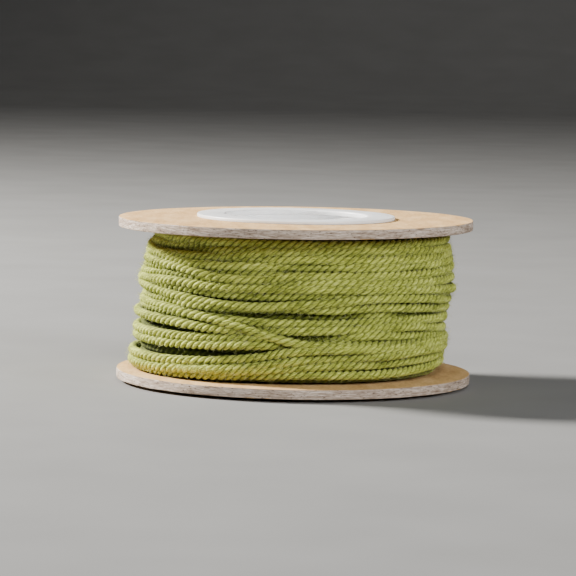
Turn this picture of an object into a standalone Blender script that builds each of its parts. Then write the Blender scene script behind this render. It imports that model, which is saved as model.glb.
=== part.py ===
"""Reel of three-ply twisted cord: two card discs on a white plastic core, wound with green cord.

The reel stands on its lower flange, as in the photograph. Metres, +Z up, with the origin under the
middle of the reel. The front of the reel faces -Y. Azimuths are degrees round from the front
towards +X.
"""
import math

import bmesh
import bpy
import numpy as np

MM = 0.001

# The core: two moulded halves that snap together inside the winding, each with a thin flange.
BORE_RADIUS = 15.0 * MM
BARREL_RADIUS = 16.3 * MM
FLANGE_RADIUS = 20.9 * MM
LOWER_FLANGE_THICKNESS = 0.4 * MM
UPPER_FLANGE_THICKNESS = 0.4 * MM
FLANGE_ROUNDING = 0.15 * MM

# The discs: grey board faced with kraft paper.
DISC_RADIUS = 37.5 * MM
DISC_THICKNESS = 2.0 * MM
DISC_ROUNDING = 0.25 * MM
DISC_SPACING = 32.2 * MM
TOP_DISC_DROP_LEFT = 0.25 * MM
TOP_DISC_RISE_FRONT = 0.15 * MM

# Every piece stands this far from the next.
CLEARANCE = 0.3 * MM

LOWER_DISC_BASE = LOWER_FLANGE_THICKNESS + CLEARANCE
UPPER_DISC_BASE = LOWER_DISC_BASE + DISC_SPACING
UPPER_FLANGE_BASE = UPPER_DISC_BASE + DISC_THICKNESS + CLEARANCE
REEL_HEIGHT = UPPER_FLANGE_BASE + UPPER_FLANGE_THICKNESS
HALF_JOINT = REEL_HEIGHT / 2

# The cord, how far one turn stands off another that it is laid over, and how far a crowd of
# turns may stand off the layer under them before they press into each other.
CORD_RADIUS = 1.0 * MM
NEST_ACROSS = 1.45 * MM
NEST_OUT = 1.7 * MM
CROWD_LIMIT = 2.3 * MM
WINDING_BOTTOM = LOWER_DISC_BASE + DISC_THICKNESS + CLEARANCE
WINDING_TOP = UPPER_DISC_BASE - CLEARANCE - TOP_DISC_DROP_LEFT

# The layer under the outermost turns: neat rows, lifted on the left of the front.
UNDER_PITCH = 1.8 * MM
UNDER_LOWEST = 4.05 * MM
UNDER_ROWS = 16
UNDER_GAP_ROW = 7
UNDER_LIFT = 1.5 * MM
UNDER_LIFT_AZIMUTHS = (-40, -12)

# Radius, in mm, at which that layer runs: one row a height, one column a side of the reel.
BODY_SIDES = (-90, 0, 90, 180)
BODY_PROFILE = (
    # height  left  front right back
    (4.0, (31.8, 28.8, 29.2, 29.3)),
    (10.0, (31.4, 29.2, 29.3, 29.4)),
    (14.0, (31.6, 29.1, 29.6, 29.4)),
    (17.0, (29.4, 29.0, 30.4, 29.4)),
    (22.0, (29.8, 28.9, 31.0, 29.4)),
    (26.0, (29.0, 28.8, 30.3, 29.2)),
    (31.0, (27.2, 28.2, 29.3, 28.6)),
)

# The outermost turns in the order they are laid: the height of each, in mm, at these azimuths,
# and how far it sinks into a hollow, in mm, where it does.
AZIMUTHS = (-75, -50, -30, -15, 0, 15, 30, 50, 75)
TURNS = (
    # name            -75   -50   -30   -15   0     15    30    50    75
    ("rising_strand", (18.1, 17.6, 17.0, 16.7, 16.6, 16.6, 17.1, 16.9, 16.4), None),
    ("under_top_one", (29.8, 30.1, 30.8, 31.0, 31.2, 31.3, 31.3, 31.1, 30.7), None),
    ("under_top_two", (28.7, 28.8, 29.6, 30.2, 29.8, 29.3, 29.2, 29.2, 29.0),
     (-1.2, -1.0, 0, 0, 0, 0, 0, 0, 0)),
    ("upper_hidden", (27.9, 27.8, 27.8, 28.1, 28.4, 28.3, 28.2, 28.2, 28.3),
     (-1.2, -1.2, -0.4, 0, 0, 0, 0, 0, 0)),
    ("wedge_upper", (25.0, 25.6, 25.3, 25.3, 24.9, 24.6, 24.6, 24.6, 24.6), None),
    ("wedge_lower", (23.6, 24.1, 23.9, 23.6, 23.5, 23.7, 23.5, 23.4, 23.3), None),
    ("middle_hidden", (22.0, 21.6, 20.9, 20.7, 20.9, 21.1, 21.2, 21.1, 20.7), None),
    ("over_gap_low", (18.6, 18.5, 18.2, 18.2, 18.4, 18.2, 18.6, 18.2, 17.3), None),
    ("under_gap", (16.4, 16.2, 15.9, 15.4, 15.3, 15.3, 15.6, 15.7, 15.2), None),
    ("fan_first", (14.8, 14.4, 13.7, 13.6, 13.9, 14.1, 14.2, 14.3, 13.1), None),
    ("fan_second", (11.6, 11.6, 11.8, 12.2, 12.4, 12.5, 12.9, 12.3, 11.4),
     (0, 0, 0, 0, -1.0, -0.8, 0, 0, 0)),
    ("fan_third", (9.9, 10.0, 10.4, 10.8, 11.0, 11.3, 11.0, 10.7, 10.7),
     (0, 0, 0, 0, -0.8, -0.6, 0, 0, 0)),
    ("foot_lowest", (4.0, 4.0, 4.2, 4.6, 4.8, 4.8, 4.7, 5.0, 5.6), None),
    ("foot_hidden", (5.6, 5.4, 5.2, 5.6, 6.3, 6.7, 6.8, 7.1, 7.3), None),
    ("top_row", (31.3, 31.4, 31.4, 31.4, 31.4, 31.4, 31.4, 31.4, 31.4), None),
    ("bright_sweep", (28.2, 26.9, 26.6, 26.7, 26.7, 26.8, 26.8, 26.7, 27.0), None),
    ("long_sweep", (26.2, 25.7, 24.2, 24.1, 25.0, 25.1, 25.1, 25.0, 25.4), None),
    ("shadow_row", (27.9, 28.1, 28.5, 29.5, 30.3, 30.3, 30.3, 29.9, 29.5),
     (-1.2, -0.8, 0, 0, 0, 0, 0, 0, 0)),
    ("middle_row", (22.3, 22.7, 22.2, 22.3, 22.4, 22.4, 22.2, 22.0, 21.2),
     (-1.2, -0.3, 0, 0, 0, 0, 0, 0, 0)),
    ("over_gap_high", (20.7, 19.8, 18.8, 18.6, 19.1, 19.7, 20.4, 20.2, 19.1), None),
    ("crossing", (17.4, 16.8, 15.5, 13.6, 11.5, 10.7, 10.3, 10.2, 10.2), None),
    ("foot_sweep", (6.5, 6.6, 7.2, 8.1, 9.6, 10.1, 10.0, 9.8, 9.9), None),
    ("foot_second", (4.6, 4.9, 5.5, 6.3, 7.7, 8.4, 8.4, 8.9, 8.9), None),
)

# How finely the solids are divided.
TURN_SAMPLES = 120
TAUT_PASSES = 400
REEL_SEGMENTS = 64
WINDING_SEGMENTS = 60
WINDING_ROWS = 52


def round_and_round(azimuth, stations, values):
    """Smooth curve through values at some azimuths, closed round the back of the reel."""
    start = np.array(stations, float)
    height = np.array(values, float)
    start = np.append(start, start[0] + 360)
    height = np.append(height, height[0])
    place = (np.asarray(azimuth, float) - start[0]) % 360 + start[0]
    span = np.clip(np.searchsorted(start, place, side="right") - 1, 0, len(values) - 1)
    step = np.diff(start)
    slope = np.diff(height) / step
    before = np.roll(slope, 1)
    tangent = (before * step + slope * np.roll(step, 1)) / (step + np.roll(step, 1))
    tangent = np.append(tangent, tangent[0])
    part = (place - start[span]) / step[span]
    rise = height[span + 1] - height[span]
    ease = part * part * (3 - 2 * part)
    leave = part * (1 - part) ** 2 * tangent[span] * step[span]
    arrive = part * part * (part - 1) * tangent[span + 1] * step[span]
    return height[span] + rise * ease + leave + arrive


def body_radius(azimuth, height):
    """Radius of the layer under the outermost turns, at its middle."""
    levels = [level * MM for level, _ in BODY_PROFILE]
    rings = [round_and_round(azimuth, BODY_SIDES, sides) * MM for _, sides in BODY_PROFILE]
    heights = np.broadcast_to(height, np.shape(azimuth))
    result = np.array(rings[0])
    for low, high, lower, upper in zip(levels, levels[1:], rings, rings[1:]):
        part = np.clip((heights - low) / (high - low), 0, 1)
        result = np.where(heights > low, lower + (upper - lower) * part, result)
    return result


def under_height(row, azimuth):
    """Height of one neat row of the under layer."""
    level = UNDER_LOWEST + row * UNDER_PITCH
    gap_level = UNDER_LOWEST + UNDER_GAP_ROW * UNDER_PITCH
    top_level = UNDER_LOWEST + (UNDER_ROWS - 1) * UNDER_PITCH
    below = (level - UNDER_LOWEST) / (gap_level - UNDER_LOWEST)
    above = (top_level - level) / (top_level - gap_level)
    share = max(0.0, min(below, above))
    near, far = UNDER_LIFT_AZIMUTHS
    turned = (azimuth + 180) % 360 - 180
    ease = np.clip((far - turned) / (far - near), 0, 1) * np.clip((180 + turned) / 60, 0, 1)
    return level + UNDER_LIFT * share * ease


def pull_taut(support, step):
    """Let a turn bridge the hollows under it, as a cord under tension does."""
    radius = support.copy()
    for _ in range(TAUT_PASSES):
        left = np.roll(radius, 1)
        right = np.roll(radius, -1)
        chord = 2 * left * right * math.cos(step) / (left + right)
        radius = np.maximum(support, chord)
    return radius


def wind_turns():
    """Azimuths, and each turn's (name, heights, radii) there, from the inside out."""
    azimuth = np.arange(TURN_SAMPLES) * 360 / TURN_SAMPLES
    step = 2 * math.pi / TURN_SAMPLES
    laid = []

    def lay(name, height, sink):
        support = body_radius(azimuth, height)
        for _, other, radius in laid:
            across = np.clip(np.abs(height - other) / NEST_ACROSS, 0, 1)
            rest = radius + NEST_OUT * np.sqrt(1 - across ** 2)
            support = np.where(across < 1, np.maximum(support, rest), support)
        radius = pull_taut(support, step) + sink
        crowded = body_radius(azimuth, height) + CROWD_LIMIT
        laid.append((name, height, np.minimum(radius, crowded)))

    level = np.zeros(TURN_SAMPLES)
    for row in range(UNDER_ROWS):
        if row != UNDER_GAP_ROW:
            lay(f"under_{row:02d}", under_height(row, azimuth), level)
    for name, heights, sinks in TURNS:
        sink = level if sinks is None else round_and_round(azimuth, AZIMUTHS, sinks) * MM
        lay(name, round_and_round(azimuth, AZIMUTHS, heights) * MM, sink)
    return azimuth, laid


def winding_radius(azimuth, height, sampled, laid):
    """Outer radius of the winding at one place, over the backs of all its turns."""
    outer = float(body_radius(np.array([azimuth]), height)[0])
    for _, heights, radii in laid:
        middle = np.interp(azimuth % 360, sampled, heights, period=360)
        across = (height - middle) / CORD_RADIUS
        if abs(across) < 1:
            radius = np.interp(azimuth % 360, sampled, radii, period=360)
            outer = max(outer, radius + CORD_RADIUS * math.sqrt(1 - across ** 2))
    return outer


def clear_scene():
    for thing in list(bpy.data.objects):
        bpy.data.objects.remove(thing)


def make_material(name, colour, roughness, subsurface=0.0):
    material = bpy.data.materials.new(name)
    material.use_nodes = True
    shader = material.node_tree.nodes["Principled BSDF"]
    shader.inputs["Base Color"].default_value = (*colour, 1.0)
    shader.inputs["Roughness"].default_value = roughness
    shader.inputs["Subsurface Weight"].default_value = subsurface
    material.diffuse_color = (*colour, 1.0)
    return material


def add_object(name, bm, material, crease_angle=40):
    bmesh.ops.recalc_face_normals(bm, faces=bm.faces)
    mesh = bpy.data.meshes.new(name)
    bm.to_mesh(mesh)
    bm.free()
    mesh.shade_smooth()
    mesh.set_sharp_from_angle(angle=math.radians(crease_angle))
    mesh.materials.append(material)
    thing = bpy.data.objects.new(name, mesh)
    bpy.context.collection.objects.link(thing)
    return thing


def turned_ring(profile, segments):
    """Closed ring spun round +Z from a closed outline of (radius, height) corners."""
    bm = bmesh.new()
    corners = [bm.verts.new((radius, 0, height)) for radius, height in profile]
    edges = [bm.edges.new((a, b)) for a, b in zip(corners, corners[1:] + corners[:1])]
    bmesh.ops.spin(bm, geom=corners + edges, cent=(0, 0, 0), axis=(0, 0, 1),
                   angle=2 * math.pi, steps=segments, use_merge=True)
    bmesh.ops.remove_doubles(bm, verts=bm.verts, dist=0.00001)
    return bm


def core_half(name, flange_outside, flange_inside, joint, material):
    """One half of the core, from the outer face of its flange to the joint of the halves."""
    outward = math.copysign(FLANGE_ROUNDING, flange_outside - flange_inside)
    profile = [
        (BORE_RADIUS, joint),
        (BORE_RADIUS, flange_outside - outward),
        (BORE_RADIUS + FLANGE_ROUNDING, flange_outside),
        (FLANGE_RADIUS - FLANGE_ROUNDING, flange_outside),
        (FLANGE_RADIUS, flange_outside - outward),
        (FLANGE_RADIUS, flange_inside),
        (BARREL_RADIUS, flange_inside),
        (BARREL_RADIUS, joint),
    ]
    return add_object(name, turned_ring(profile, REEL_SEGMENTS), material)


def card_disc(name, base, drop_left, rise_front, material):
    """One disc, flat where the flange holds it and a little out of true towards its rim."""
    hole = BARREL_RADIUS + CLEARANCE
    top = base + DISC_THICKNESS
    profile = [
        (hole, base),
        (hole, top),
        (FLANGE_RADIUS, top),
        (DISC_RADIUS - DISC_ROUNDING, top),
        (DISC_RADIUS, top - DISC_ROUNDING),
        (DISC_RADIUS, base + DISC_ROUNDING),
        (DISC_RADIUS - DISC_ROUNDING, base),
        (FLANGE_RADIUS, base),
    ]
    bm = turned_ring(profile, REEL_SEGMENTS)
    for vertex in bm.verts:
        x, y, _ = vertex.co
        share = max(0.0, math.hypot(x, y) - FLANGE_RADIUS) / (DISC_RADIUS - FLANGE_RADIUS)
        vertex.co.z += share * (drop_left * x - rise_front * y) / DISC_RADIUS
    return add_object(name, bm, material)


def wound_cord(material):
    """The winding as one body, with the back of every outer turn raised on it."""
    sampled, laid = wind_turns()
    inner = BARREL_RADIUS + CLEARANCE
    heights = np.linspace(WINDING_BOTTOM, WINDING_TOP, WINDING_ROWS)
    rim = inner + CORD_RADIUS
    profile = [(inner, WINDING_TOP), (inner, WINDING_BOTTOM)]
    profile += [(rim, height) for height in heights]
    bm = turned_ring(profile, WINDING_SEGMENTS)
    halfway = (inner + rim) / 2
    for vertex in bm.verts:
        x, y, height = vertex.co
        if math.hypot(x, y) > halfway:
            azimuth = math.degrees(math.atan2(x, -y))
            radius = winding_radius(azimuth, height, sampled, laid)
            vertex.co.x = radius * math.sin(math.radians(azimuth))
            vertex.co.y = -radius * math.cos(math.radians(azimuth))
    return add_object("wound_cord", bm, material)


def build_reel():
    white = make_material("core_plastic", (0.80, 0.81, 0.80), 0.35, subsurface=0.1)
    card = make_material("kraft_card", (0.60, 0.44, 0.29), 0.85)
    green = make_material("cord_yarn", (0.36, 0.41, 0.09), 0.9)
    core_half("core_lower", 0.0, LOWER_FLANGE_THICKNESS, HALF_JOINT - CLEARANCE / 2, white)
    core_half("core_upper", REEL_HEIGHT, UPPER_FLANGE_BASE, HALF_JOINT + CLEARANCE / 2, white)
    card_disc("disc_lower", LOWER_DISC_BASE, 0.0, 0.0, card)
    card_disc("disc_upper", UPPER_DISC_BASE, TOP_DISC_DROP_LEFT, TOP_DISC_RISE_FRONT, card)
    wound_cord(green)


clear_scene()
build_reel()
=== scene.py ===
"""The reel of twisted green cord as it looks: every outer turn as a three-ply cord with its stray
fibres, the kraft-faced card discs and the moulded white core, on a pale studio floor.

Azimuths are degrees round from the front of the reel, which faces -Y, towards +X.
"""
import math
import random

import bmesh
import bpy
import numpy as np
from mathutils import Matrix, Vector, noise


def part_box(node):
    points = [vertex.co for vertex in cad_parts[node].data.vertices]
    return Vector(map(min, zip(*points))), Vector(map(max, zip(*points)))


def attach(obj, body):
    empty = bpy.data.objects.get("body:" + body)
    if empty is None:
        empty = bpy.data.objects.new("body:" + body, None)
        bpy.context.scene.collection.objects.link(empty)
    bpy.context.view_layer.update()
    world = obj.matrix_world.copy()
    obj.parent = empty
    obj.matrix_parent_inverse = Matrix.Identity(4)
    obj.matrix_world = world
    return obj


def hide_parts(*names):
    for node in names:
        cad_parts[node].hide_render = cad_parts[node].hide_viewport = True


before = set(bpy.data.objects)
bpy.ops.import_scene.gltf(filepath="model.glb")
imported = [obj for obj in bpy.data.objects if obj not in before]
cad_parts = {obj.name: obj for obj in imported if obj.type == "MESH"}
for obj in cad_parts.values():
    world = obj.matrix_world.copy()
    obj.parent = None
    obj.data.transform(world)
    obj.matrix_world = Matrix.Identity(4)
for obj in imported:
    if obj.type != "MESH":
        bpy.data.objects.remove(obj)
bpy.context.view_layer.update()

MM = 0.001

# Sizes read from the frame.
LOWER_DISC_LOW, LOWER_DISC_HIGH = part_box("disc_lower")
CORE_LOWER_LOW, CORE_LOWER_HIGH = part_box("core_lower")
CORE_UPPER_LOW, CORE_UPPER_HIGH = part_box("core_upper")
DISC_RADIUS = LOWER_DISC_HIGH.x
DISC_THICKNESS = LOWER_DISC_HIGH.z - LOWER_DISC_LOW.z
LOWER_DISC_BASE = LOWER_DISC_LOW.z
FLANGE_RADIUS = CORE_UPPER_HIGH.x

# Sizes of the core that its boxes don't give. Its flanges close up to the cards.
BORE_RADIUS = 15.0 * MM
BARREL_RADIUS = 16.3 * MM
SEAT_GAP = 0.03 * MM
MOUTH_ROUNDING = 0.35 * MM
MOUTH_LIP = 0.95 * MM
MOUTH_RECESS = 0.3 * MM
MOUTH_STEP = 0.2 * MM
RIM_ROUNDING_SHARE = 0.35
ROUNDING_STEPS = 6
CORE_SEGMENTS = 240

# Sizes of the discs that their boxes don't give.
UPPER_DISC_BASE = 32.9 * MM
TOP_DISC_DROP_LEFT = 0.25 * MM
TOP_DISC_RISE_FRONT = 0.15 * MM
DISC_HOLE_RADIUS = 16.6 * MM
HOLE_CHAMFER_ACROSS = 0.1 * MM
HOLE_CHAMFER_DOWN = 0.2 * MM
DISC_LIP = 0.12 * MM
DISC_LIP_DOWN = 0.3 * DISC_LIP
DISC_FLAT_RADIUS = DISC_RADIUS - 3 * DISC_LIP
DISC_ROUGH_START = DISC_RADIUS - 2 * DISC_LIP
DISC_EDGE_START = DISC_RADIUS - 1.5 * DISC_LIP
DISC_EDGE_UPRIGHT = 0.8
DISC_EDGE_INSET = 0.08 * MM
DISC_EDGE_BULGE = 0.05 * MM
DISC_EDGE_ROWS = 13
DISC_FACE_RINGS = 10
DISC_SEGMENTS = 300
DISC_CREASE_ANGLE = 50

# The discs' rough cut edge and slightly wavy faces: noise cells a metre, and depths.
EDGE_GRAIN = 600
EDGE_GRAIN_FLATNESS = 3
EDGE_GRAIN_COARSE = 0.23
EDGE_GRAIN_UP = 0.4
EDGE_ROUGH_FINE = 0.045 * MM
EDGE_ROUGH_COARSE = 0.05 * MM
EDGE_ROUGH_INSET = 0.05 * MM
EDGE_ROUGH_UP = 0.035 * MM
FACE_GRAIN = 90
FACE_WAVE = 0.03 * MM
FACE_WAVE_START = 1.0 * MM

# The cord: three plies, a left-hand twist.
CORD_RADIUS = 1.0 * MM
PLY_RADIUS = 0.58 * MM
PLY_OFFSET = 0.44 * MM
LAY_PITCH = 4.75 * MM
NEST_ACROSS = 1.45 * MM
NEST_OUT = 1.7 * MM
CROWD_LIMIT = 2.3 * MM

# The yarn's fibres on the cord: radians round and pattern cells along, for each mm of cord.
FIBRE_SLANT = 0.4
FIBRE_STRETCH = 0.22
# How quickly the painted shade in the valleys between plies fades towards their crests.
GROOVE_SHADE_SHARPNESS = 1.7
LUMPINESS = 0.028
LUMP_SEED = 5

# How much each turn differs from the one laid before it, and where its ends meet, at the back.
TURN_PHASE_STEP = 1.7
TURN_PATTERN_STEP = 61.0
SEAM_AZIMUTH = 180
SEAM_SPREAD = 40

# Unevenness of the twist, in radians, and of the thickness, as a share, round one turn.
TWIST_WAVES = (
    # size, waves a turn, share of the turn's phase
    (0.35, 3, 1),
    (0.2, 7, 2),
    (0.12, 19, 3),
)
THICKNESS_WAVES = (
    # size, waves a turn, share of the turn's phase
    (0.02, 5, 2),
    (0.02, 31, 1),
)

# The layer under the outermost turns: neat rows, lifted on the left of the front.
UNDER_PITCH = 1.8 * MM
UNDER_LOWEST = 4.05 * MM
UNDER_ROWS = 16
UNDER_GAP_ROW = 7
UNDER_LIFT = 1.5 * MM
UNDER_LIFT_AZIMUTHS = (-40, -12)
UNDER_LIFT_FADE = 60

# Radius, in mm, at which that layer runs: one row a height, one column a side of the reel.
BODY_SIDES = (-90, 0, 90, 180)
BODY_PROFILE = (
    # height  left  front right back
    (4.0, (31.8, 28.8, 29.2, 29.3)),
    (10.0, (31.4, 29.2, 29.3, 29.4)),
    (14.0, (31.6, 29.1, 29.6, 29.4)),
    (17.0, (29.4, 29.0, 30.4, 29.4)),
    (22.0, (29.8, 28.9, 31.0, 29.4)),
    (26.0, (29.0, 28.8, 30.3, 29.2)),
    (31.0, (27.2, 28.2, 29.3, 28.6)),
)

# The outermost turns in the order they are laid: the height of each, in mm, at these azimuths,
# and how far it sinks into a hollow, in mm, where it does.
AZIMUTHS = (-75, -50, -30, -15, 0, 15, 30, 50, 75)
TURNS = (
    # name            -75   -50   -30   -15   0     15    30    50    75
    ("rising_strand", (18.1, 17.6, 17.0, 16.7, 16.6, 16.6, 17.1, 16.9, 16.4), None),
    ("under_top_one", (29.8, 30.1, 30.8, 31.0, 31.2, 31.3, 31.3, 31.1, 30.7), None),
    ("under_top_two", (28.7, 28.8, 29.6, 30.2, 29.8, 29.3, 29.2, 29.2, 29.0),
     (-1.2, -1.0, 0, 0, 0, 0, 0, 0, 0)),
    ("upper_hidden", (27.9, 27.8, 27.8, 28.1, 28.4, 28.3, 28.2, 28.2, 28.3),
     (-1.2, -1.2, -0.4, 0, 0, 0, 0, 0, 0)),
    ("wedge_upper", (25.0, 25.6, 25.3, 25.3, 24.9, 24.6, 24.6, 24.6, 24.6), None),
    ("wedge_lower", (23.6, 24.1, 23.9, 23.6, 23.5, 23.7, 23.5, 23.4, 23.3), None),
    ("middle_hidden", (22.0, 21.6, 20.9, 20.7, 20.9, 21.1, 21.2, 21.1, 20.7), None),
    ("over_gap_low", (18.6, 18.5, 18.2, 18.2, 18.4, 18.2, 18.6, 18.2, 17.3), None),
    ("under_gap", (16.4, 16.2, 15.9, 15.4, 15.3, 15.3, 15.6, 15.7, 15.2), None),
    ("fan_first", (14.8, 14.4, 13.7, 13.6, 13.9, 14.1, 14.2, 14.3, 13.1), None),
    ("fan_second", (11.6, 11.6, 11.8, 12.2, 12.4, 12.5, 12.9, 12.3, 11.4),
     (0, 0, 0, 0, -1.0, -0.8, 0, 0, 0)),
    ("fan_third", (9.9, 10.0, 10.4, 10.8, 11.0, 11.3, 11.0, 10.7, 10.7),
     (0, 0, 0, 0, -0.8, -0.6, 0, 0, 0)),
    ("foot_lowest", (4.0, 4.0, 4.2, 4.6, 4.8, 4.8, 4.7, 5.0, 5.6), None),
    ("foot_hidden", (5.6, 5.4, 5.2, 5.6, 6.3, 6.7, 6.8, 7.1, 7.3), None),
    ("top_row", (31.3, 31.4, 31.4, 31.4, 31.4, 31.4, 31.4, 31.4, 31.4), None),
    ("bright_sweep", (28.2, 26.9, 26.6, 26.7, 26.7, 26.8, 26.8, 26.7, 27.0), None),
    ("long_sweep", (26.2, 25.7, 24.2, 24.1, 25.0, 25.1, 25.1, 25.0, 25.4), None),
    ("shadow_row", (27.9, 28.1, 28.5, 29.5, 30.3, 30.3, 30.3, 29.9, 29.5),
     (-1.2, -0.8, 0, 0, 0, 0, 0, 0, 0)),
    ("middle_row", (22.3, 22.7, 22.2, 22.3, 22.4, 22.4, 22.2, 22.0, 21.2),
     (-1.2, -0.3, 0, 0, 0, 0, 0, 0, 0)),
    ("over_gap_high", (20.7, 19.8, 18.8, 18.6, 19.1, 19.7, 20.4, 20.2, 19.1), None),
    ("crossing", (17.4, 16.8, 15.5, 13.6, 11.5, 10.7, 10.3, 10.2, 10.2), None),
    ("foot_sweep", (6.5, 6.6, 7.2, 8.1, 9.6, 10.1, 10.0, 9.8, 9.9), None),
    ("foot_second", (4.6, 4.9, 5.5, 6.3, 7.7, 8.4, 8.4, 8.9, 8.9), None),
)
TURN_SAMPLES = 120
TAUT_PASSES = 400

# The layers under the neat rows, as one plain body.
BACKING_LOW = 3.1 * MM
BACKING_HIGH = 32.0 * MM
BACKING_ROWS = 24
BACKING_SEGMENTS = 120
BACKING_SINK = 0.75 * MM
BACKING_START_RADIUS = 30.0 * MM
BACKING_HOLE_RADIUS = BARREL_RADIUS + 0.3 * MM
BACKING_OUTER_LIMIT = BARREL_RADIUS + 1.0 * MM

# How finely the cord is made: the outermost turns, and those under them.
OUTER_STEPS = 13
OUTER_SIDES = 18
UNDER_STEPS = 7
UNDER_SIDES = 9
TURNS_PER_PIECE = 8

# Stray fibres that stand off the outermost turns, leaning by shares of their own length.
FIBRE_COUNT = 7000
FIBRE_RADIUS = 0.022 * MM
FIBRE_LENGTHS = (0.6 * MM, 2.0 * MM)
FIBRE_SHORTENING = (0.4, 1.0)
FIBRE_SIDE_ANGLE = 1.1
FIBRE_ROOT = 0.93
FIBRE_LEAN_ALONG = 1.4
FIBRE_LEAN_UP = 0.7
FIBRE_BEND_UP = 0.5
FIBRE_FIRST_LEAN = 0.6
FIBRE_LAST_LIFT = 0.4
FIBRE_TAPER = 0.35
FIBRE_SETS = (
    # name             seed  lift
    ("fuzz_standing", 11, 1.0),
    ("fuzz_lying", 12, 0.3),
)

# How far below the winding's surface a place is when painted shade starts to darken its colour, and
# over what depth.
PAINTED_SHADE_START = 0.25 * MM
PAINTED_SHADE_DEPTH = 1.4 * MM
HOLLOW_REACH = 0.9 * MM
HOLLOW_LEVELS = 145
HOLLOW_TOP = 36.0 * MM

# The camera: its place in mm, its turns in radians.
CAMERA_PLACE = (-1.40, -735.6, 85.8)
CAMERA_PITCH = 0.0893
CAMERA_ROLL = 0.0206
CAMERA_LENS = 218.06
CAMERA_NEAREST = 10.0 * MM
SENSOR_WIDTH = 36.0

# Soft boxes aimed at the middle of the reel, in degrees, metres and watts.
REEL_MIDDLE = 18.0 * MM
SOFT_BOXES = (
    # name        azimuth elevation distance size power colour
    ("key", -110, 31, 0.9, 0.16, 38.0, (1.0, 0.97, 0.92)),
    ("side_fill", 50, 20, 0.9, 0.22, 5.4, (1.0, 1.0, 1.0)),
    ("front_fill", 5, 32, 1.1, 0.26, 4.8, (1.0, 1.0, 1.0)),
)
SKY_COLOUR = (0.80, 0.82, 0.85, 1.0)
SKY_STRENGTH = 0.02

# The floor and the backdrop it bends up into, in metres.
FLOOR_HALF_WIDTH = 2.6
FLOOR_NEAR = -2.5
FLOOR_BEND_START = 1.5
FLOOR_BEND = 0.7
FLOOR_BEND_STEP = 10
BACKDROP_HEIGHT = 2.4


def round_and_round(azimuth, stations, values):
    """Smooth curve through values at some azimuths, closed round the back of the reel."""
    start = np.array(stations, float)
    height = np.array(values, float)
    start = np.append(start, start[0] + 360)
    height = np.append(height, height[0])
    place = (np.asarray(azimuth, float) - start[0]) % 360 + start[0]
    span = np.clip(np.searchsorted(start, place, side="right") - 1, 0, len(values) - 1)
    step = np.diff(start)
    slope = np.diff(height) / step
    before = np.roll(slope, 1)
    tangent = (before * step + slope * np.roll(step, 1)) / (step + np.roll(step, 1))
    tangent = np.append(tangent, tangent[0])
    part = (place - start[span]) / step[span]
    rise = height[span + 1] - height[span]
    ease = part * part * (3 - 2 * part)
    leave = part * (1 - part) ** 2 * tangent[span] * step[span]
    arrive = part * part * (part - 1) * tangent[span + 1] * step[span]
    return height[span] + rise * ease + leave + arrive


def body_radius(azimuth, height):
    """Radius of the layer under the outermost turns, at its middle."""
    levels = [level * MM for level, _ in BODY_PROFILE]
    rings = [round_and_round(azimuth, BODY_SIDES, sides) * MM for _, sides in BODY_PROFILE]
    heights = np.broadcast_to(height, np.shape(azimuth))
    result = np.array(rings[0])
    for low, high, lower, upper in zip(levels, levels[1:], rings, rings[1:]):
        part = np.clip((heights - low) / (high - low), 0, 1)
        result = np.where(heights > low, lower + (upper - lower) * part, result)
    return result


def under_height(row, azimuth):
    """Height of one neat row of the under layer."""
    level = UNDER_LOWEST + row * UNDER_PITCH
    gap_level = UNDER_LOWEST + UNDER_GAP_ROW * UNDER_PITCH
    top_level = UNDER_LOWEST + (UNDER_ROWS - 1) * UNDER_PITCH
    below = (level - UNDER_LOWEST) / (gap_level - UNDER_LOWEST)
    above = (top_level - level) / (top_level - gap_level)
    share = max(0.0, min(below, above))
    near, far = UNDER_LIFT_AZIMUTHS
    turned = (azimuth + 180) % 360 - 180
    ease = np.clip((far - turned) / (far - near), 0, 1)
    ease = ease * np.clip((180 + turned) / UNDER_LIFT_FADE, 0, 1)
    return level + UNDER_LIFT * share * ease


def pull_taut(support, step):
    """Let a turn bridge the hollows under it, as a cord under tension does."""
    radius = support.copy()
    for _ in range(TAUT_PASSES):
        left = np.roll(radius, 1)
        right = np.roll(radius, -1)
        chord = 2 * left * right * math.cos(step) / (left + right)
        radius = np.maximum(support, chord)
    return radius


def wind_turns():
    """Azimuths, and each turn's (name, heights, radii) there, from the inside out."""
    azimuth = np.arange(TURN_SAMPLES) * 360 / TURN_SAMPLES
    step = 2 * math.pi / TURN_SAMPLES
    laid = []

    def lay(name, height, sink):
        """Rest one turn on those laid before it, at its height."""
        support = body_radius(azimuth, height)
        for _, other, radius in laid:
            across = np.clip(np.abs(height - other) / NEST_ACROSS, 0, 1)
            rest = radius + NEST_OUT * np.sqrt(1 - across ** 2)
            support = np.where(across < 1, np.maximum(support, rest), support)
        radius = pull_taut(support, step) + sink
        crowded = body_radius(azimuth, height) + CROWD_LIMIT
        laid.append((name, height, np.minimum(radius, crowded)))

    level = np.zeros(TURN_SAMPLES)
    for row in range(UNDER_ROWS):
        if row != UNDER_GAP_ROW:
            lay(f"under_{row:02d}", under_height(row, azimuth), level)
    for name, heights, sinks in TURNS:
        sink = level if sinks is None else round_and_round(azimuth, AZIMUTHS, sinks) * MM
        lay(name, round_and_round(azimuth, AZIMUTHS, heights) * MM, sink)
    return azimuth, laid


def winding_surface(laid):
    """Radius of the winding's surface, each turn widened a little, by azimuth and by height."""
    levels = np.linspace(0, HOLLOW_TOP, HOLLOW_LEVELS)
    surface = np.zeros((TURN_SAMPLES, HOLLOW_LEVELS))
    for _, heights, radii in laid:
        away = np.abs(levels[None, :] - heights[:, None]) - HOLLOW_REACH
        across = np.clip(away / CORD_RADIUS, 0, 1)
        reach = radii[:, None] + CORD_RADIUS * np.sqrt(1 - across ** 2)
        surface = np.maximum(surface, np.where(across < 1, reach, 0))
    return surface


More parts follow.
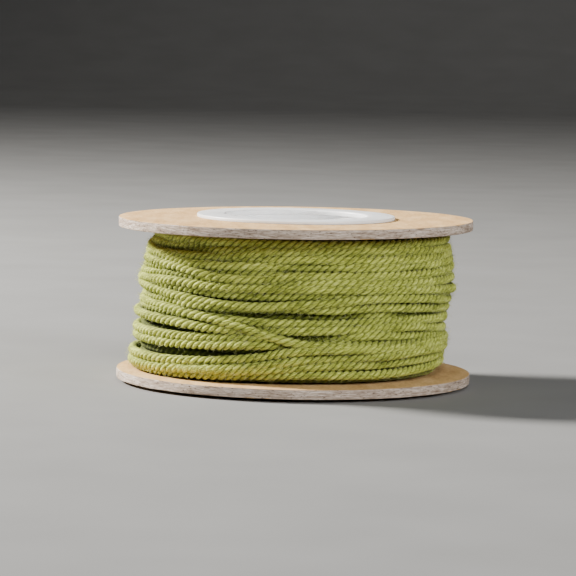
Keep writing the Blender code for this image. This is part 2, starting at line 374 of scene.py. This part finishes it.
def surface_depth(places, surface):
    """How far places, rows of (x, y, z), are below the winding's surface."""
    azimuth = np.degrees(np.arctan2(places[:, 0], -places[:, 1])) % 360
    column = azimuth * TURN_SAMPLES / 360
    first = np.floor(column).astype(int) % TURN_SAMPLES
    second = (first + 1) % TURN_SAMPLES
    part = column - np.floor(column)
    last_row = HOLLOW_LEVELS - 1
    row = np.clip(np.rint(places[:, 2] / HOLLOW_TOP * last_row), 0, last_row).astype(int)
    here = surface[first, row] * (1 - part) + surface[second, row] * part
    return here - np.hypot(places[:, 0], places[:, 1])


# Shader groups and small node helpers

def add_node(tree, kind, **settings):
    """A new shader node with some of its settings."""
    node = tree.nodes.new(kind)
    for key, value in settings.items():
        setattr(node, key, value)
    return node


def shader_group(name, inputs, outputs):
    """An empty shader node group with named inputs, (kind, default), and named output kinds."""
    group = bpy.data.node_groups.new(name, "ShaderNodeTree")
    for label, (kind, default) in inputs.items():
        socket = group.interface.new_socket(label, in_out="INPUT", socket_type=kind)
        if default is not None:
            socket.default_value = default
    for label, kind in outputs.items():
        group.interface.new_socket(label, in_out="OUTPUT", socket_type=kind)
    return group, group.nodes.new("NodeGroupInput"), group.nodes.new("NodeGroupOutput")


def fibre_group():
    """Fine fibres along the last axis of a vector: their height, and a light to dark value."""
    group, given, made = shader_group(
        "fine_fibres",
        {"Vector": ("NodeSocketVector", None), "Fineness": ("NodeSocketFloat", 5.0),
         "Patchiness": ("NodeSocketFloat", 0.4)},
        {"Height": "NodeSocketFloat", "Shade": "NodeSocketFloat"})
    strands = add_node(group, "ShaderNodeTexNoise")
    strands.inputs["Detail"].default_value = 4.0
    strands.inputs["Roughness"].default_value = 0.68
    patches = add_node(group, "ShaderNodeTexNoise")
    patches.inputs["Scale"].default_value = 0.35
    patches.inputs["Detail"].default_value = 2.0
    blend = add_node(group, "ShaderNodeMix", data_type="FLOAT")
    group.links.new(given.outputs["Vector"], strands.inputs["Vector"])
    group.links.new(given.outputs["Vector"], patches.inputs["Vector"])
    group.links.new(given.outputs["Fineness"], strands.inputs["Scale"])
    group.links.new(given.outputs["Patchiness"], blend.inputs["Factor"])
    group.links.new(strands.outputs["Fac"], blend.inputs["A"])
    group.links.new(patches.outputs["Fac"], blend.inputs["B"])
    group.links.new(strands.outputs["Fac"], made.inputs["Height"])
    group.links.new(blend.outputs["Result"], made.inputs["Shade"])
    return group


def place_fibres(tree, fibres, fineness, patchiness, vector):
    """The fibre group in a material, with its own values, read along a vector."""
    placed = add_node(tree, "ShaderNodeGroup", node_tree=fibres)
    placed.inputs["Fineness"].default_value = fineness
    placed.inputs["Patchiness"].default_value = patchiness
    tree.links.new(vector, placed.inputs["Vector"])
    return placed


def new_material(name, roughness, specular=0.5):
    """A material with its node tree and its Principled shader."""
    material = bpy.data.materials.new(name)
    material.use_nodes = True
    shader = material.node_tree.nodes["Principled BSDF"]
    shader.inputs["Roughness"].default_value = roughness
    shader.inputs["Specular IOR Level"].default_value = specular
    return material, material.node_tree, shader


def colour_ramp(tree, source, stops):
    """A ramp of (position, colour) stops fed from a value."""
    ramp = add_node(tree, "ShaderNodeValToRGB")
    elements = ramp.color_ramp.elements
    while len(elements) < len(stops):
        elements.new(0.5)
    for element, (position, colour) in zip(elements, stops):
        element.position = position
        element.color = (*colour, 1.0)
    tree.links.new(source, ramp.inputs["Fac"])
    return ramp.outputs["Color"]


def speckled_tone(tree, scale, stops):
    """A colour that wanders between stops over a piece, by noise on its own coordinates."""
    place = add_node(tree, "ShaderNodeTexCoord")
    spots = add_node(tree, "ShaderNodeTexNoise")
    spots.inputs["Scale"].default_value = scale
    tree.links.new(place.outputs["Object"], spots.inputs["Vector"])
    return colour_ramp(tree, spots.outputs["Fac"], stops)


def bump_from(tree, height, strength, distance):
    """A normal raised by a height."""
    bump = add_node(tree, "ShaderNodeBump")
    bump.inputs["Strength"].default_value = strength
    bump.inputs["Distance"].default_value = distance
    tree.links.new(height, bump.inputs["Height"])
    return bump.outputs["Normal"]


def stretched_place(tree, scale):
    """Object coordinates stretched by an amount along each axis."""
    place = add_node(tree, "ShaderNodeTexCoord")
    stretch = add_node(tree, "ShaderNodeMapping")
    stretch.inputs["Scale"].default_value = scale
    tree.links.new(place.outputs["Object"], stretch.inputs["Vector"])
    return stretch.outputs["Vector"]


# Materials

def cord_material(fibres):
    """Matt spun yarn, with painted shade darkening it in the grooves between plies and in the hollows
    between turns.
    """
    material, tree, shader = new_material("cord_yarn", 0.85, 0.25)
    shader.inputs["Sheen Weight"].default_value = 0.15
    shader.inputs["Sheen Roughness"].default_value = 0.5
    shader.inputs["Sheen Tint"].default_value = (0.85, 0.9, 0.5, 1.0)
    yarn = add_node(tree, "ShaderNodeAttribute", attribute_name="yarn_place")
    painted_groove_shade = add_node(tree, "ShaderNodeAttribute", attribute_name="painted_groove_shade")
    painted_hollow_shade = add_node(tree, "ShaderNodeAttribute", attribute_name="painted_hollow_shade")
    strands = place_fibres(tree, fibres, 3.3, 0.25, yarn.outputs["Vector"])
    tone = colour_ramp(tree, strands.outputs["Shade"], (
        (0.38, (0.170, 0.200, 0.020)),
        (0.50, (0.405, 0.455, 0.066)),
        (0.62, (0.650, 0.710, 0.160))))
    # Painted shade: the colour is multiplied darker in the grooves between plies and in the hollows
    # between turns.
    for mask, shade in ((painted_groove_shade, (0.30, 0.32, 0.14, 1.0)), (painted_hollow_shade, (0.27, 0.29, 0.13, 1.0))):
        painted_shade_mix = add_node(tree, "ShaderNodeMix", data_type="RGBA", blend_type="MULTIPLY")
        painted_shade_mix.inputs["B"].default_value = shade
        tree.links.new(mask.outputs["Fac"], painted_shade_mix.inputs["Factor"])
        tree.links.new(tone, painted_shade_mix.inputs["A"])
        tone = painted_shade_mix.outputs["Result"]
    tree.links.new(tone, shader.inputs["Base Color"])
    normal = bump_from(tree, strands.outputs["Height"], 0.9, 0.25 * MM)
    tree.links.new(normal, shader.inputs["Normal"])
    return material


def backing_material():
    """Yarn deep between the turns, its greens painted darker than the cord's as shade."""
    material, tree, shader = new_material("deep_yarn_painted_shade", 0.95, 0.1)
    # Painted shade: darker copies of the cord's greens, for the shade deep between the turns.
    tone = speckled_tone(tree, 1200.0, (
        (0.35, (0.11, 0.125, 0.018)),
        (0.65, (0.22, 0.245, 0.045))))
    tree.links.new(tone, shader.inputs["Base Color"])
    return material


def fuzz_material():
    """Single fibres, paler than the cord they stand on."""
    material, tree, shader = new_material("stray_fibres", 0.7, 0.3)
    tone = speckled_tone(tree, 900.0, (
        (0.35, (0.42, 0.45, 0.14)),
        (0.65, (0.70, 0.72, 0.36))))
    tree.links.new(tone, shader.inputs["Base Color"])
    return material


def kraft_material(fibres):
    """Brown kraft paper with fine fibres and a slight mottle."""
    material, tree, shader = new_material("kraft_face", 0.8, 0.3)
    paper = place_fibres(tree, fibres, 1.6, 0.5, stretched_place(tree, (900, 260, 260)))
    tone = colour_ramp(tree, paper.outputs["Shade"], (
        (0.36, (0.50, 0.290, 0.110)),
        (0.50, (0.63, 0.390, 0.165)),
        (0.64, (0.74, 0.485, 0.230))))
    tree.links.new(tone, shader.inputs["Base Color"])
    normal = bump_from(tree, paper.outputs["Height"], 0.25, 0.05 * MM)
    tree.links.new(normal, shader.inputs["Normal"])
    return material


def board_material(fibres):
    """The cut edge of the board: grey-brown pressed layers with short dark flecks."""
    material, tree, shader = new_material("board_edge", 0.9, 0.2)
    layers = place_fibres(tree, fibres, 1.3, 0.3, stretched_place(tree, (380, 380, 3600)))
    flecks = add_node(tree, "ShaderNodeTexNoise")
    flecks.inputs["Scale"].default_value = 1.0
    flecks.inputs["Detail"].default_value = 2.0
    tree.links.new(stretched_place(tree, (1500, 1500, 4200)), flecks.inputs["Vector"])
    tone = colour_ramp(tree, layers.outputs["Shade"], (
        (0.36, (0.20, 0.140, 0.100)),
        (0.50, (0.44, 0.345, 0.270)),
        (0.64, (0.72, 0.62, 0.53))))
    dark = colour_ramp(tree, flecks.outputs["Fac"], (
        (0.30, (0.25, 0.22, 0.2)),
        (0.40, (1.0, 1.0, 1.0))))
    both = add_node(tree, "ShaderNodeMix", data_type="RGBA", blend_type="MULTIPLY")
    both.inputs["Factor"].default_value = 1.0
    tree.links.new(tone, both.inputs["A"])
    tree.links.new(dark, both.inputs["B"])
    tree.links.new(both.outputs["Result"], shader.inputs["Base Color"])
    normal = bump_from(tree, layers.outputs["Height"], 0.8, 0.12 * MM)
    tree.links.new(normal, shader.inputs["Normal"])
    return material


def plastic_material():
    """Milky white moulded plastic with a faint grain and light scuffs."""
    material, tree, shader = new_material("white_plastic", 0.34, 0.5)
    shader.inputs["Subsurface Weight"].default_value = 0.5
    shader.inputs["Subsurface Scale"].default_value = 1.2 * MM
    shader.inputs["Subsurface Radius"].default_value = (1.0, 0.95, 0.9)
    mottle = add_node(tree, "ShaderNodeTexNoise")
    mottle.inputs["Scale"].default_value = 160.0
    mottle.inputs["Detail"].default_value = 4.0
    place = add_node(tree, "ShaderNodeTexCoord")
    tree.links.new(place.outputs["Object"], mottle.inputs["Vector"])
    tone = colour_ramp(tree, mottle.outputs["Fac"], (
        (0.3, (0.91, 0.91, 0.91)),
        (0.7, (0.95, 0.95, 0.95))))
    tree.links.new(tone, shader.inputs["Base Color"])
    gloss = add_node(tree, "ShaderNodeMapRange")
    gloss.inputs["From Min"].default_value = 0.3
    gloss.inputs["From Max"].default_value = 0.7
    gloss.inputs["To Min"].default_value = 0.28
    gloss.inputs["To Max"].default_value = 0.42
    tree.links.new(mottle.outputs["Fac"], gloss.inputs["Value"])
    tree.links.new(gloss.outputs["Result"], shader.inputs["Roughness"])
    return material


# The cord

def add_object(name, data):
    """A new object in the scene, at the origin."""
    thing = bpy.data.objects.new(name, data)
    bpy.context.scene.collection.objects.link(thing)
    return thing


def mesh_of_curve(name, curve):
    """The mesh that a curve makes. The curve is used up."""
    thing = add_object(name, curve)
    mesh = bpy.data.meshes.new_from_object(
        thing.evaluated_get(bpy.context.evaluated_depsgraph_get()))
    bpy.data.objects.remove(thing)
    bpy.data.curves.remove(curve)
    return mesh


def join_meshes(name, meshes, material):
    """One object from several meshes, which are used up."""
    bm = bmesh.new()
    for mesh in meshes:
        bm.from_mesh(mesh)
        bpy.data.meshes.remove(mesh)
    joined = bpy.data.meshes.new(name)
    bm.to_mesh(joined)
    bm.free()
    joined.shade_smooth()
    joined.materials.clear()
    joined.materials.append(material)
    return add_object(name, joined)


def point_at(azimuth, height, radius):
    """Places for azimuths in degrees, as an array of rows (x, y, z)."""
    angle = np.radians(azimuth)
    return np.stack([radius * np.sin(angle), -radius * np.cos(angle), height + 0 * angle], axis=-1)


def ply_outline(sides):
    """Outline of three plies pressed together, as a closed curve for a curve's bevel object."""
    curve = bpy.data.curves.new("ply_outline", "CURVE")
    curve.dimensions = "2D"
    spline = curve.splines.new("POLY")
    spline.points.add(sides - 1)
    for index, point in enumerate(spline.points):
        around = 2 * math.pi * index / sides
        off = (around + math.pi / 3) % (2 * math.pi / 3) - math.pi / 3
        reach = PLY_OFFSET * math.cos(off)
        reach += math.sqrt(PLY_RADIUS ** 2 - (PLY_OFFSET * math.sin(off)) ** 2)
        point.co = (reach * math.cos(around), reach * math.sin(around), 0, 1)
    spline.use_cyclic_u = True
    return add_object("ply_outline", curve)


def waves_round(turned, phase, waves, level):
    """A level with sine waves on it, along one turn."""
    parts = (size * np.sin(count * turned + share * phase) for size, count, share in waves)
    return sum(parts, level)


def sweep_turn(azimuth, heights, radii, outline, steps, phase):
    """One turn of twisted cord as a mesh, swept round a closed path by a curve's bevel."""
    length = 2 * math.pi * float(np.mean(radii))
    pitches = round(length / LAY_PITCH)
    count = pitches * steps
    around = SEAM_AZIMUTH + SEAM_SPREAD * math.sin(phase) + np.arange(count) * 360 / count
    curve = bpy.data.curves.new("turn", "CURVE")
    curve.dimensions = "3D"
    curve.twist_mode = "Z_UP"
    curve.bevel_mode = "OBJECT"
    curve.bevel_object = outline
    spline = curve.splines.new("POLY")
    spline.points.add(count - 1)
    places = np.ones((count, 4))
    places[:, :3] = point_at(around, round_and_round(around, azimuth, heights),
                             round_and_round(around, azimuth, radii))
    spline.points.foreach_set("co", places.ravel())
    turned = np.radians(around)
    twist = 2 * math.pi * pitches * np.arange(count) / count
    spline.points.foreach_set("tilt", phase + waves_round(turned, phase, TWIST_WAVES, 0.0) - twist)
    spline.points.foreach_set("radius", waves_round(turned, phase, THICKNESS_WAVES, 1.0))
    spline.use_cyclic_u = True
    return mesh_of_curve("turn", curve), length


def store(mesh, name, kind, field, values):
    """Store a value for each vertex, for the materials to read."""
    attribute = mesh.attributes.new(name, kind, "POINT")
    attribute.data.foreach_set(field, values.ravel())


def mark_yarn(mesh, sides, length, offset, surface):
    """Roughen the yarn, and store where each corner is on it and, as masks of painted shade, how deep
    it lies between plies and turns.
    """
    total = len(mesh.vertices)
    places = np.empty(total * 3)
    mesh.vertices.foreach_get("co", places)
    rings = places.reshape(total // sides, sides, 3)
    middle = rings.mean(axis=1, keepdims=True)
    outward = middle * (1, 1, 0)
    outward = outward / np.linalg.norm(outward, axis=2, keepdims=True)
    spoke = rings - middle
    turned = np.arctan2(spoke[..., 2], (spoke * outward).sum(axis=2))
    along = np.arange(total // sides)[:, None] * length / MM / (total // sides)
    turned = turned - FIBRE_SLANT * along
    lengthwise = FIBRE_STRETCH * along + offset + 0 * turned
    yarn_place = np.stack([np.cos(turned), np.sin(turned), lengthwise], axis=-1)
    store(mesh, "yarn_place", "FLOAT_VECTOR", "vector", yarn_place)
    reach = np.linalg.norm(spoke, axis=2)
    deepest = reach.min(axis=1, keepdims=True)
    highest = reach.max(axis=1, keepdims=True)
    # Painted shade: full in the deepest valleys between plies, fading towards the crests.
    painted_groove_shade = np.clip(1 - GROOVE_SHADE_SHARPNESS * (reach - deepest) / (highest - deepest), 0, 1)
    store(mesh, "painted_groove_shade", "FLOAT", "value", painted_groove_shade)
    # Painted shade: darker the deeper a place lies below the winding's surface, in the hollows
    # between turns.
    depth = surface_depth(places.reshape(total, 3), surface)
    painted_hollow_shade = np.clip((depth - PAINTED_SHADE_START) / PAINTED_SHADE_DEPTH, 0, 1)
    store(mesh, "painted_hollow_shade", "FLOAT", "value", painted_hollow_shade)
    lumps = np.random.default_rng(int(offset) + LUMP_SEED).normal(1, LUMPINESS, reach.shape)
    mesh.vertices.foreach_set("co", (middle + spoke * lumps[..., None]).ravel())


def cord_pieces(sampled, laid, material):
    """Every turn of cord, in pieces of a few turns each."""
    made = []
    surface = winding_surface(laid)
    for label, turns, steps, sides in (
            ("cord_outer", laid[UNDER_ROWS - 1:], OUTER_STEPS, OUTER_SIDES),
            ("cord_under", laid[:UNDER_ROWS - 1], UNDER_STEPS, UNDER_SIDES)):
        outline = ply_outline(sides)
        for first in range(0, len(turns), TURNS_PER_PIECE):
            meshes = []
            chosen = turns[first:first + TURNS_PER_PIECE]
            for index, (_, heights, radii) in enumerate(chosen, start=first):
                phase = TURN_PHASE_STEP * index
                mesh, length = sweep_turn(sampled, heights, radii, outline, steps, phase)
                mark_yarn(mesh, sides, length, TURN_PATTERN_STEP * index, surface)
                meshes.append(mesh)
            name = f"{label}_{first // TURNS_PER_PIECE + 1}"
            made.append(join_meshes(name, meshes, material))
        bpy.data.objects.remove(outline)
    return made


def stray_fibres(name, sampled, turns, seed, lift, material):
    """Short bent fibres on the outer side of some turns, which stand off by a share called lift."""
    draw = random.Random(seed)
    curve = bpy.data.curves.new(name, "CURVE")
    curve.dimensions = "3D"
    curve.bevel_depth = FIBRE_RADIUS
    curve.bevel_resolution = 0
    curve.use_fill_caps = True
    upward = Vector((0, 0, 1))
    for _ in range(FIBRE_COUNT):
        _, heights, radii = draw.choice(turns)
        azimuth = draw.uniform(0, 360)
        height = float(np.interp(azimuth, sampled, heights, period=360))
        radius = float(np.interp(azimuth, sampled, radii, period=360))
        side = draw.uniform(-FIBRE_SIDE_ANGLE, FIBRE_SIDE_ANGLE)
        angle = math.radians(azimuth)
        outward = Vector((math.sin(angle), -math.cos(angle), 0))
        along = Vector((-outward.y, outward.x, 0))
        normal = outward * math.cos(side) + upward * math.sin(side)
        place = outward * radius + upward * height + normal * CORD_RADIUS * FIBRE_ROOT
        lean = along * draw.uniform(-FIBRE_LEAN_ALONG, FIBRE_LEAN_ALONG)
        lean += upward * draw.uniform(-FIBRE_LEAN_UP, FIBRE_LEAN_UP)
        first_way = (normal * lift + lean * FIBRE_FIRST_LEAN).normalized()
        last_way = normal * lift * FIBRE_LAST_LIFT + lean
        last_way += upward * draw.uniform(-FIBRE_BEND_UP, FIBRE_BEND_UP)
        last_way.normalize()
        length = draw.uniform(*FIBRE_LENGTHS) * draw.uniform(*FIBRE_SHORTENING)
        spline = curve.splines.new("POLY")
        spline.points.add(2)
        for index, point in enumerate(spline.points):
            point.co = (*place, 1)
            point.radius = 1.0 - FIBRE_TAPER * index
            place = place + (first_way if index == 0 else last_way) * length / 2
    return join_meshes(name, [mesh_of_curve(name, curve)], material)


# The card discs and the core

def turned_ring(profile, segments):
    """Closed ring spun round +Z from a closed outline of (radius, height) corners."""
    bm = bmesh.new()
    corners = [bm.verts.new((radius, 0, height)) for radius, height in profile]
    edges = [bm.edges.new((a, b)) for a, b in zip(corners, corners[1:] + corners[:1])]
    bmesh.ops.spin(bm, geom=corners + edges, cent=(0, 0, 0), axis=(0, 0, 1),
                   angle=2 * math.pi, steps=segments, use_merge=True)
    bmesh.ops.remove_doubles(bm, verts=bm.verts, dist=0.001 * MM)
    bmesh.ops.recalc_face_normals(bm, faces=bm.faces)
    return bm


def add_piece(name, bm, materials, crease_angle=35):
    """A finished object from a bmesh, smooth but for its creases."""
    mesh = bpy.data.meshes.new(name)
    bm.to_mesh(mesh)
    bm.free()
    mesh.shade_smooth()
    mesh.set_sharp_from_angle(angle=math.radians(crease_angle))
    for material in materials:
        mesh.materials.append(material)
    return add_object(name, mesh)


def inner_layers(material):
    """The layers under the neat rows, as one plain body that closes the hollows between turns."""
    levels = np.linspace(BACKING_LOW, BACKING_HIGH, BACKING_ROWS)
    profile = [(BACKING_HOLE_RADIUS, BACKING_LOW), (BACKING_HOLE_RADIUS, BACKING_HIGH)]
    profile += [(BACKING_START_RADIUS, height) for height in reversed(levels)]
    bm = turned_ring(profile, BACKING_SEGMENTS)
    for vertex in bm.verts:
        x, y, z = vertex.co
        if math.hypot(x, y) > BACKING_OUTER_LIMIT:
            azimuth = np.array([math.degrees(math.atan2(x, -y))])
            radius = float(body_radius(azimuth, z)[0]) - BACKING_SINK
            vertex.co = point_at(azimuth, z, radius)[0]
    return add_piece("cord_inner", bm, [material])


def disc_profile(base):
    """Outline of a die-cut disc: flat faces, a pressed lip at each rim and a rounded edge."""
    top = base + DISC_THICKNESS
    inner = DISC_HOLE_RADIUS + HOLE_CHAMFER_ACROSS
    outer = DISC_FLAT_RADIUS
    profile = [(DISC_HOLE_RADIUS, base + HOLE_CHAMFER_DOWN)]
    profile += [(DISC_HOLE_RADIUS, top - HOLE_CHAMFER_DOWN)]
    profile += [(inner + (outer - inner) * ring / DISC_FACE_RINGS, top)
                for ring in range(DISC_FACE_RINGS + 1)]
    profile += [(DISC_RADIUS - DISC_LIP, top - DISC_LIP_DOWN)]
    for row in range(DISC_EDGE_ROWS):
        part = row / (DISC_EDGE_ROWS - 1)
        height = top - DISC_LIP - (DISC_THICKNESS - 2 * DISC_LIP) * part
        bulge = DISC_EDGE_BULGE * math.sin(math.pi * part)
        profile.append((DISC_RADIUS - DISC_EDGE_INSET + bulge, height))
    profile += [(DISC_RADIUS - DISC_LIP, base + DISC_LIP_DOWN)]
    profile += [(outer - (outer - inner) * ring / DISC_FACE_RINGS, base)
                for ring in range(DISC_FACE_RINGS + 1)]
    return profile


def card_disc(name, base, drop_left, rise_front, seed, materials):
    """A disc of board: a rough, layered edge, and faces a little out of flat."""
    bm = turned_ring(disc_profile(base), DISC_SEGMENTS)
    for vertex in bm.verts:
        x, y, z = vertex.co
        radius = math.hypot(x, y)
        share = max(0.0, radius - FLANGE_RADIUS) / (DISC_RADIUS - FLANGE_RADIUS)
        vertex.co.z += share * (drop_left * x - rise_front * y) / DISC_RADIUS
        grain = Vector((x, y, z * EDGE_GRAIN_FLATNESS)) * EDGE_GRAIN + Vector((seed, 0, 0))
        if radius > DISC_ROUGH_START:
            rough = noise.noise(grain) * EDGE_ROUGH_FINE - EDGE_ROUGH_INSET
            rough += noise.noise(grain * EDGE_GRAIN_COARSE) * EDGE_ROUGH_COARSE
            vertex.co.x += x / radius * rough
            vertex.co.y += y / radius * rough
            vertex.co.z += noise.noise(grain * EDGE_GRAIN_UP) * EDGE_ROUGH_UP
        elif radius > FLANGE_RADIUS + FACE_WAVE_START:
            vertex.co.z += noise.noise(Vector((x, y, seed)) * FACE_GRAIN) * FACE_WAVE
    for face in bm.faces:
        middle = face.calc_center_median()
        radius = math.hypot(middle.x, middle.y)
        on_edge = radius > DISC_EDGE_START and abs(face.normal.z) < DISC_EDGE_UPRIGHT
        in_hole = radius < DISC_HOLE_RADIUS + HOLE_CHAMFER_ACROSS / 2
        face.material_index = 1 if on_edge or in_hole else 0
    return add_piece(name, bm, materials, DISC_CREASE_ANGLE)


def arc_corners(centre_radius, centre_height, size, start, end, steps):
    """Corners of an arc in the profile's plane, angles in degrees from +radius towards +height."""
    corners = []
    for step in range(steps + 1):
        angle = math.radians(start + (end - start) * step / steps)
        corners.append((centre_radius + size * math.cos(angle),
                        centre_height + size * math.sin(angle)))
    return corners


def core_half(name, outside, seat, joint, material):
    """Half of the core: a flange with a soft rim, a rolled mouth with a lip, and its barrel."""
    way = 1 if outside > joint else -1
    rim = abs(outside - seat) * RIM_ROUNDING_SHARE
    profile = [(BORE_RADIUS + MOUTH_RECESS, joint)]
    profile += [(BORE_RADIUS + MOUTH_RECESS, outside - way * (MOUTH_LIP + MOUTH_STEP))]
    profile += [(BORE_RADIUS, outside - way * MOUTH_LIP)]
    profile += arc_corners(BORE_RADIUS + MOUTH_ROUNDING, outside - way * MOUTH_ROUNDING,
                           MOUTH_ROUNDING, 180, 180 - way * 90, ROUNDING_STEPS)
    profile += arc_corners(FLANGE_RADIUS - rim, outside - way * rim, rim, way * 90, 0,
                           ROUNDING_STEPS)
    profile += [(FLANGE_RADIUS, seat), (BARREL_RADIUS, seat), (BARREL_RADIUS, joint)]
    return add_piece(name, turned_ring(profile, CORE_SEGMENTS), [material])


# The stage

def add_camera():
    """The camera at the photograph's viewing angle, rolled a little."""
    data = bpy.data.cameras.new("camera")
    data.lens = CAMERA_LENS
    data.sensor_width = SENSOR_WIDTH
    data.clip_start = CAMERA_NEAREST
    right = Vector((1, 0, 0))
    upward = Vector((0, math.sin(CAMERA_PITCH), math.cos(CAMERA_PITCH)))
    forward = Vector((0, math.cos(CAMERA_PITCH), -math.sin(CAMERA_PITCH)))
    turned_right = right * math.cos(CAMERA_ROLL) + upward * math.sin(CAMERA_ROLL)
    turned_up = upward * math.cos(CAMERA_ROLL) - right * math.sin(CAMERA_ROLL)
    turn = Matrix((turned_right, turned_up, -forward)).transposed().to_4x4()
    camera = add_object("camera", data)
    camera.matrix_world = Matrix.Translation(Vector(CAMERA_PLACE) * MM) @ turn
    bpy.context.scene.camera = camera


def add_light(name, azimuth, elevation, distance, size, power, colour):
    """A square soft box round the reel, aimed at its middle."""
    data = bpy.data.lights.new(name, "AREA")
    data.shape = "SQUARE"
    data.size = size
    data.energy = power
    data.color = colour
    flat = distance * math.cos(math.radians(elevation))
    angle = math.radians(azimuth)
    target = Vector((0, 0, REEL_MIDDLE))
    place = Vector((flat * math.sin(angle), -flat * math.cos(angle),
                    distance * math.sin(math.radians(elevation)) + REEL_MIDDLE))
    lamp = add_object(name, data)
    lamp.location = place
    lamp.rotation_euler = (target - place).to_track_quat("-Z", "Y").to_euler()


def add_floor():
    """A pale floor that sweeps up into a plain backdrop."""
    profile = [(FLOOR_NEAR, 0.0), (FLOOR_BEND_START, 0.0)]
    for degrees in range(FLOOR_BEND_STEP, 91, FLOOR_BEND_STEP):
        turn = math.radians(degrees)
        profile.append((FLOOR_BEND_START + FLOOR_BEND * math.sin(turn),
                        FLOOR_BEND - FLOOR_BEND * math.cos(turn)))
    profile.append((FLOOR_BEND_START + FLOOR_BEND, BACKDROP_HEIGHT))
    bm = bmesh.new()
    corners = [bm.verts.new((-FLOOR_HALF_WIDTH, y, z)) for y, z in profile]
    edges = [bm.edges.new(pair) for pair in zip(corners, corners[1:])]
    swept = bmesh.ops.extrude_edge_only(bm, edges=edges)["geom"]
    moved = [item for item in swept if isinstance(item, bmesh.types.BMVert)]
    bmesh.ops.translate(bm, verts=moved, vec=(2 * FLOOR_HALF_WIDTH, 0, 0))
    bmesh.ops.recalc_face_normals(bm, faces=bm.faces)
    if min(bm.faces, key=lambda face: face.calc_center_median().z).normal.z < 0:
        bmesh.ops.reverse_faces(bm, faces=bm.faces)
    material, tree, shader = new_material("pale_floor", 0.75, 0.3)
    tone = speckled_tone(tree, 30.0, (
        (0.3, (0.215, 0.215, 0.212)),
        (0.7, (0.235, 0.235, 0.232))))
    tree.links.new(tone, shader.inputs["Base Color"])
    add_piece("studio_floor", bm, [material])


def add_world():
    """A faint even light from all round."""
    world = bpy.data.worlds.new("studio")
    world.use_nodes = True
    backdrop = world.node_tree.nodes["Background"]
    backdrop.inputs["Color"].default_value = SKY_COLOUR
    backdrop.inputs["Strength"].default_value = SKY_STRENGTH
    bpy.context.scene.world = world


def dress_reel():
    """Dress every solid of the reel: the winding, the discs and the core."""
    fibres = fibre_group()
    yarn = cord_material(fibres)
    kraft = kraft_material(fibres)
    board = board_material(fibres)
    plastic = plastic_material()
    sampled, laid = wind_turns()
    for piece in cord_pieces(sampled, laid, yarn):
        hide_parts("wound_cord")
        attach(piece, "root")
    backing = inner_layers(backing_material())
    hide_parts("wound_cord")
    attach(backing, "root")
    hair = fuzz_material()
    for name, seed, lift in FIBRE_SETS:
        fuzz = stray_fibres(name, sampled, laid[UNDER_ROWS - 1:], seed, lift, hair)
        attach(fuzz, "root")
    discs = (
        # name, node, base, drop at the left, rise at the front, grain seed
        ("card_lower", "disc_lower", LOWER_DISC_BASE, 0.0, 0.0, 3.0),
        ("card_upper", "disc_upper", UPPER_DISC_BASE, TOP_DISC_DROP_LEFT, TOP_DISC_RISE_FRONT, 8.0),
    )
    for name, node, base, drop_left, rise_front, seed in discs:
        disc = card_disc(name, base, drop_left, rise_front, seed, [kraft, board])
        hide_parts(node)
        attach(disc, "root")
    lower_seat = LOWER_DISC_BASE - SEAT_GAP
    upper_seat = UPPER_DISC_BASE + DISC_THICKNESS + SEAT_GAP
    halves = (
        # name, node, outer face, face on the card, joint
        ("moulding_lower", "core_lower", CORE_LOWER_LOW.z, lower_seat, CORE_LOWER_HIGH.z),
        ("moulding_upper", "core_upper", CORE_UPPER_HIGH.z, upper_seat, CORE_UPPER_LOW.z),
    )
    for name, node, outside, seat, joint in halves:
        half = core_half(name, outside, seat, joint, plastic)
        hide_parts(node)
        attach(half, "root")


add_camera()
add_floor()
add_world()
for box in SOFT_BOXES:
    add_light(*box)
dress_reel()
